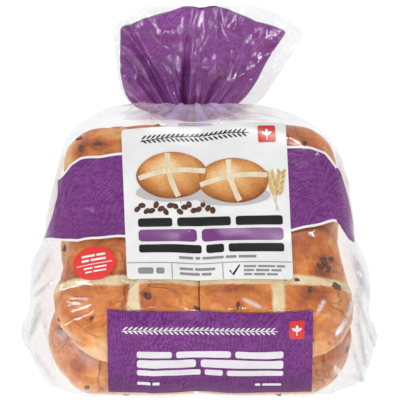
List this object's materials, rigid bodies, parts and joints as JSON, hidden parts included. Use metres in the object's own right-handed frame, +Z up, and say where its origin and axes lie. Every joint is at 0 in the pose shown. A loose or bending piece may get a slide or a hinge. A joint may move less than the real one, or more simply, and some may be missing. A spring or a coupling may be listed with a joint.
{
  "type": "bag of hot cross buns",
  "caption": "Clear printed film bag filled with hot cross buns, lying flat, its closed end in front and its neck gathered by a twist tie into a pleated flare.",
  "frame": {"origin": "middle of the flat base, on the surface that the bag lies on", "axes": "+Z up, -Y towards the closed end, +Y towards the neck and its flare, +X to the right seen from the closed end"},
  "size_m": [0.1904, 0.2147, 0.0853],
  "materials": {
    "printed_film": "purple and white print on thin glossy film",
    "clear_film": "thin clear crinkled film",
    "bun_crust": "glazed golden-brown bun crust, paler at the sides",
    "bun_cross": "baked cream-coloured paste",
    "raisin": "dark wrinkled raisin",
    "tie_plastic": "satin twist tie"
  },
  "bodies": {
    "root": {"bag": "printed_film", "neck_tie": "tie_plastic"}
  },
  "joints": []
}
